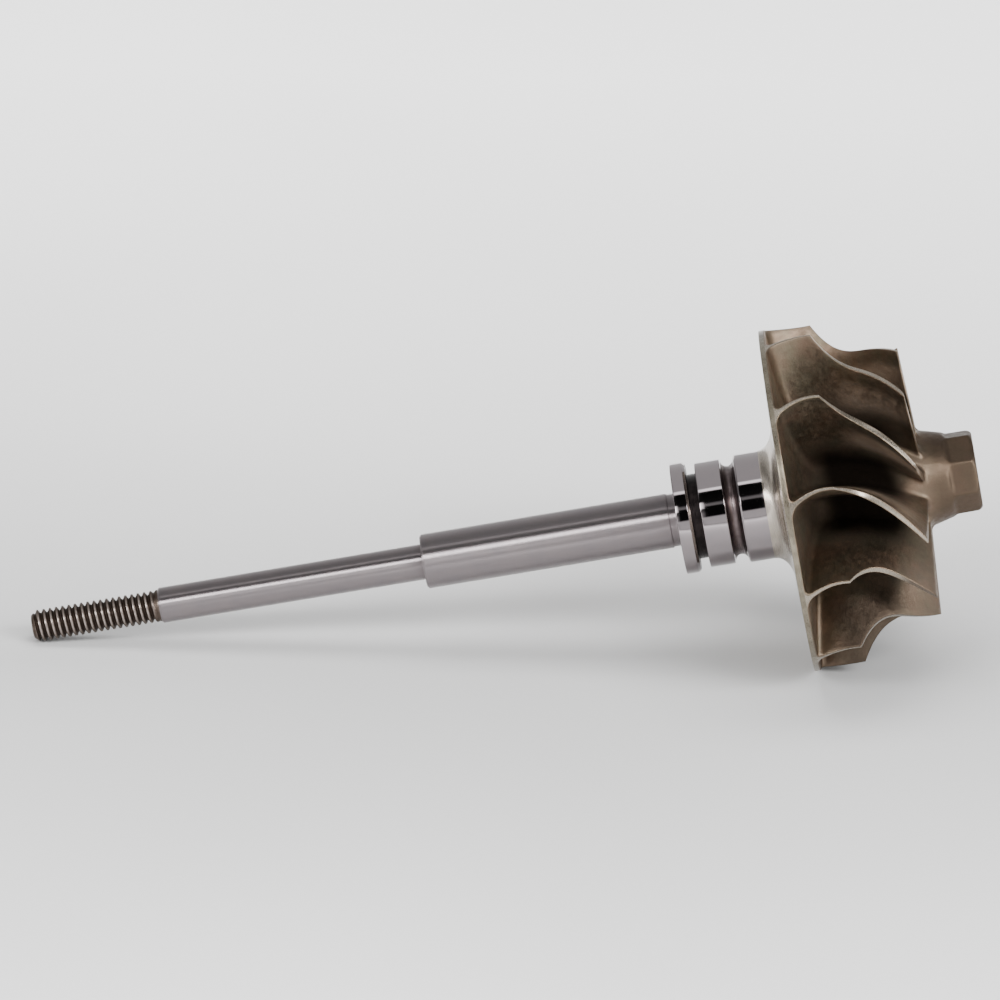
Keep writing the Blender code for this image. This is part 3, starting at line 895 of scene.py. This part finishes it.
class ROTOR_OT_threaded_end(bpy.types.Operator):
    """Build the fine thread that carries the compressor wheel's nut"""
    bl_idname = "rotor.threaded_end"
    bl_label = "Threaded End"

    def execute(self, context):
        sizes, finish, _ = rotor_settings()
        skin = thread_patches(sizes)
        tip = lathe([(0.0, AXIS_RADIUS), (0.0, THREAD_TIP_RADIUS)], even_angles(THREAD_COLUMNS))
        root = lathe([(THREAD_END, THREAD_RADIUS), (THREAD_END, AXIS_RADIUS)],
                     even_angles(THREAD_COLUMNS))
        piece = piece_from_patches("threaded_end", [(tip, 0), (skin, 0), (root, 0)],
                                   [thread_steel(finish)])
        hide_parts("shaft")
        return {"FINISHED"}


class ROTOR_OT_ground_shaft(bpy.types.Operator):
    """Build the thin stub, the bearing journal and the relief behind it"""
    bl_idname = "rotor.ground_shaft"
    bl_label = "Ground Shaft"

    def execute(self, context):
        sizes, finish, _ = rotor_settings()
        edge = sizes.edge_round / MM
        overlap = COLLAR_START + SHAFT_OVERLAP
        corners = ((THREAD_END, AXIS_RADIUS, 0.0), (THREAD_END, STUB_START_RADIUS, 0.0),
                   (THREAD_END + STUB_CHAMFER, STUB_RADIUS, edge),
                   (JOURNAL_START - 0.5, STUB_RADIUS, 0.0), (JOURNAL_START, STUB_RADIUS, 0.2),
                   (JOURNAL_START, SHOULDER_RADIUS, edge),
                   (JOURNAL_START + JOURNAL_CHAMFER, JOURNAL_RADIUS, edge),
                   (JOURNAL_END, JOURNAL_RADIUS, RELIEF_ROUND),
                   (JOURNAL_END + RELIEF_SLOPE, RELIEF_RADIUS, RELIEF_ROUND),
                   (COLLAR_START, RELIEF_RADIUS, 0.0), (overlap, RELIEF_RADIUS, 0.0),
                   (overlap, AXIS_RADIUS, 0.0))
        skin = lathe(rounded_outline(corners), even_angles())
        steel = ground_steel(finish, "ground_steel", finish.steel_roughness, line_scale=14.0,
                             line_depth=0.0008, dulling=0.35, smear=1.0)
        piece = piece_from_patches("ground_shaft", [(skin, 0)], [steel])
        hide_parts("shaft")
        return {"FINISHED"}


class ROTOR_OT_seal_collars(bpy.types.Operator):
    """Build the thrust collar, the ring groove, the seal land and the steel boss"""
    bl_idname = "rotor.seal_collars"
    bl_label = "Seal Collars"

    def execute(self, context):
        sizes, finish, _ = rotor_settings()
        edge = sizes.edge_round / MM
        corners = [(COLLAR_START, AXIS_RADIUS, 0.0), (COLLAR_START, COLLAR_RADIUS, edge),
                   (COLLAR_END - COLLAR_CHAMFER, COLLAR_RADIUS, COLLAR_ROUND),
                   (COLLAR_END, COLLAR_CHAMFER_RADIUS, COLLAR_ROUND),
                   (COLLAR_END, RING_GROOVE_RADIUS, RING_GROOVE_ROUND),
                   (LAND_START, RING_GROOVE_RADIUS, RING_GROOVE_ROUND),
                   (LAND_START, LAND_RADIUS, edge), (LAND_END, LAND_RADIUS, edge)]
        middle = 0.5 * (LAND_END + BOSS_START)
        half = 0.5 * (BOSS_START - LAND_END)
        for turn in np.linspace(0.12, 0.88, 9) * math.pi:
            corners.append((middle - half * math.cos(turn),
                            OIL_GROOVE_EDGE - OIL_GROOVE_DEPTH * math.sin(turn), 0.0))
        corners += [(BOSS_START + 0.05, 8.3, COLLAR_ROUND), (BOSS_START + 0.3, BOSS_RADIUS, COLLAR_ROUND),
                    (WELD, BOSS_RADIUS, 0.0), (WELD, AXIS_RADIUS, 0.0)]
        outline = rounded_outline(corners)
        station, radius = (0.5 * (outline[:-1] + outline[1:])).T
        # The deep parts of the grooves get the groove finish: painted shade and dark oxide
        in_ring_groove = (station > COLLAR_END - 0.02) & (station < LAND_START + 0.02)
        in_oil_groove = (station > LAND_END) & (station < BOSS_START)
        dark = ((in_ring_groove & (radius < RING_SHADE_RADIUS))
                | (in_oil_groove & (radius < OIL_SHADE_RADIUS)))
        patches = [(lathe(outline[index:index + 2], even_angles()), int(dark[index]))
                   for index in range(len(dark))]
        steel = ground_steel(finish, "polished_steel", 0.045, line_scale=9.0, line_depth=0.0003,
                             dulling=0.2, smear=0.0)
        piece = piece_from_patches("seal_collars", patches, [steel, groove_steel()])
        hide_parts("shaft")
        return {"FINISHED"}


class ROTOR_OT_turbine_wheel(bpy.types.Operator):
    """Build the cast wheel: disc, hub, blades with root fillets, neck and nose"""
    bl_idname = "rotor.turbine_wheel"
    bl_label = "Turbine Wheel"

    def execute(self, context):
        sizes, finish, _ = rotor_settings()
        boss = ground_steel(finish, "polished_boss", 0.05, line_scale=9.0, line_depth=0.0003,
                            dulling=0.3, smear=0.0)
        finishes = [cast_alloy(finish), ground_edge(finish), turned_alloy(finish), boss, rim_band()]
        piece = piece_from_patches("cast_wheel", wheel_patches(sizes), finishes)
        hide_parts("turbine_wheel")
        return {"FINISHED"}


def pale_floor(colour):
    """A smooth matt floor with a barely visible mottle, and a broad soft shade across it."""
    material, tree, shader, place = new_finish("pale_floor")
    shader.inputs["Metallic"].default_value = 0.0
    tone = ranged(tree, noise(tree, place, 0.004, 2.0), 0.3, 0.7, 0.0, 0.15)
    depth = coordinate(tree, place, "Y")
    front = ranged(tree, depth, FLOOR_SHADE_PLACE - FLOOR_SHADE_FRONT, FLOOR_SHADE_PLACE,
                   0.0, FLOOR_SHADE_STRENGTH)
    back = ranged(tree, depth, FLOOR_SHADE_PLACE, FLOOR_SHADE_PLACE + FLOOR_SHADE_BACK,
                  FLOOR_SHADE_STRENGTH, 0.0)
    shade = reckoned(tree, "MINIMUM", front, back)
    far_front = faded(tree, depth, *FAR_FRONT_SPAN, FAR_FRONT_STRENGTH, 0.0)
    shade = reckoned(tree, "MAXIMUM", shade, far_front)
    tone = reckoned(tree, "ADD", tone, shade)
    darker = tuple(channel * FLOOR_SHADE for channel in colour)
    wire_up(tree, shader, Base_Color=mixed(tree, tone, tuple(colour), darker))
    shader.inputs["Roughness"].default_value = 0.75
    shader.inputs["Specular IOR Level"].default_value = 0.2
    return material


def level_ramp(tree, share, bands):
    """A grey ramp over half a turn, from pairs of degrees and brightness."""
    ramp = node(tree, "ShaderNodeValToRGB", {"Fac": share})
    elements = ramp.color_ramp.elements
    while len(elements) < len(bands):
        elements.new(0.5)
    for element, (degrees, level) in zip(elements, bands):
        element.position = degrees / 180.0
        element.color = (level, level, level, 1.0)
    return ramp.outputs["Color"]


def studio_surround(strength):
    """A pale surround with dark gaps and bright strips over the front, laid along the rotor."""
    world = bpy.data.worlds.new("studio_surround")
    bpy.context.scene.world = world
    world.use_nodes = True
    tree = world.node_tree
    way = node(tree, "ShaderNodeTexCoord").outputs["Generated"]
    rotor = spin_axis_matrix().to_3x3().transposed()

    def share_towards(direction):
        return node(tree, "ShaderNodeVectorMath", {0: way, 1: direction},
                    operation="DOT_PRODUCT").outputs["Value"]

    turn = reckoned(tree, "ARCTAN2", share_towards(rotor[2]), share_towards(-rotor[1]))
    share = reckoned(tree, "DIVIDE", turn, math.pi)
    middle = level_ramp(tree, share, MIDDLE_BANDS)
    sides = level_ramp(tree, share, SIDE_BANDS)
    sideways = reckoned(tree, "ABSOLUTE", share_towards(rotor[0]))
    blend = ranged(tree, sideways, *BAND_CHANGE, 0.0, 1.0)
    mix = node(tree, "ShaderNodeMix", {"Factor": blend, 6: middle, 7: sides}, data_type="RGBA")
    background = tree.nodes["Background"]
    tree.links.new(mix.outputs[2], background.inputs["Color"])
    background.inputs["Strength"].default_value = strength


def softbox(name, place, size, power, mirrored=False):
    """A soft lamp. Polished steel shows the surround's strips, and a lamp only if mirrored."""
    lamp = bpy.data.lights.new(name, "AREA")
    lamp.shape = "RECTANGLE"
    lamp.size, lamp.size_y = size
    lamp.energy = power
    thing = bpy.data.objects.new(name, lamp)
    thing.location = place
    thing.rotation_euler = (Vector(LAMP_AIM) - Vector(place)).to_track_quat("-Z", "Y").to_euler()
    thing.visible_glossy = mirrored
    bpy.context.scene.collection.objects.link(thing)


def photo_camera(stage):
    """A camera that sees the spin axis at the slope, lean and lift set for the stage."""
    frame_turn = spin_axis_matrix().to_3x3()
    along = frame_turn @ Vector((1.0, 0.0, 0.0))
    up = frame_turn @ Vector((0.0, 0.0, 1.0))
    slope, lean, lift = stage.slope, stage.lean, stage.lift
    seen_along = Vector((math.cos(lean) * math.cos(slope), math.cos(lean) * math.sin(slope),
                         math.sin(lean)))
    rise = Vector((-math.sin(slope), math.cos(slope), 0.0))
    seen_up = math.cos(lift) * rise + math.sin(lift) * seen_along.cross(rise)
    world = Matrix((along, up, along.cross(up))).transposed()
    seen = Matrix((seen_along, seen_up, seen_along.cross(seen_up))).transposed()
    turn = world @ seen.transposed()
    data = bpy.data.cameras.new("photo_camera")
    data.lens = stage.lens
    data.sensor_width = SENSOR_WIDTH
    data.clip_start = 0.01
    data.clip_end = 50.0
    view = SENSOR_WIDTH / stage.lens * stage.distance
    across, rise_share = stage.disc_in_picture
    disc = spin_axis_matrix() @ Vector(((WHEEL_BACK + DISC_MIDDLE) * MM, 0.0, 0.0))
    camera = bpy.data.objects.new("photo_camera", data)
    offset = turn @ Vector((across * view, rise_share * view, -stage.distance))
    camera.matrix_world = Matrix.Translation(disc - offset) @ turn.to_4x4()
    bpy.context.scene.collection.objects.link(camera)
    bpy.context.scene.camera = camera


class ROTOR_OT_stage(bpy.types.Operator):
    """Set the pale floor, the soft lights and the camera"""
    bl_idname = "rotor.stage"
    bl_label = "Stage"

    def execute(self, context):
        _, _, stage = rotor_settings()
        mesh = bpy.data.meshes.new("floor")
        work = bmesh.new()
        bmesh.ops.create_grid(work, x_segments=8, y_segments=8, size=FLOOR_REACH)
        work.to_mesh(mesh)
        work.free()
        mesh.materials.append(pale_floor(stage.floor_colour))
        floor = bpy.data.objects.new("floor", mesh)
        context.scene.collection.objects.link(floor)
        studio_surround(stage.surround_strength)
        softbox("left_softbox", (-0.75, -0.75, 0.75), SIDE_SOFTBOX, stage.key_power)
        softbox("right_softbox", (0.8, -0.7, 0.7), SIDE_SOFTBOX, stage.key_power)
        softbox("low_right_lamp", (0.78, -0.49, 0.32), LOW_LAMP, LOW_LAMP_POWER, mirrored=True)
        softbox("top_softbox", (0.0, 0.1, 1.1), TOP_SOFTBOX, stage.key_power)
        photo_camera(stage)
        return {"FINISHED"}


class ROTOR_PT_panel(bpy.types.Panel):
    """Lists the rotor's pieces and its stage"""
    bl_idname = "ROTOR_PT_panel"
    bl_label = "Turbocharger Rotor"
    bl_space_type = "VIEW_3D"
    bl_region_type = "UI"
    bl_category = "Rotor"

    def draw(self, context):
        column = self.layout.column()
        for operator in OPERATORS:
            column.operator(operator.bl_idname)


OPERATORS = (ROTOR_OT_threaded_end, ROTOR_OT_ground_shaft, ROTOR_OT_seal_collars,
             ROTOR_OT_turbine_wheel, ROTOR_OT_stage)
CLASSES = (RotorSizes, RotorFinish, RotorStage, *OPERATORS, ROTOR_PT_panel)


def register():
    for kind in CLASSES:
        bpy.utils.register_class(kind)
    bpy.types.Scene.rotor_sizes = PointerProperty(type=RotorSizes)
    bpy.types.Scene.rotor_finish = PointerProperty(type=RotorFinish)
    bpy.types.Scene.rotor_stage = PointerProperty(type=RotorStage)


def unregister():
    del bpy.types.Scene.rotor_stage
    del bpy.types.Scene.rotor_finish
    del bpy.types.Scene.rotor_sizes
    for kind in reversed(CLASSES):
        bpy.utils.unregister_class(kind)


def write_sizes():
    """Brings the view layer up to date."""
    bpy.context.view_layer.update()


def main():
    register()
    bpy.ops.rotor.threaded_end()
    bpy.ops.rotor.ground_shaft()
    bpy.ops.rotor.seal_collars()
    bpy.ops.rotor.turbine_wheel()
    bpy.ops.rotor.stage()
    write_sizes()


if __name__ == "__main__":
    main()
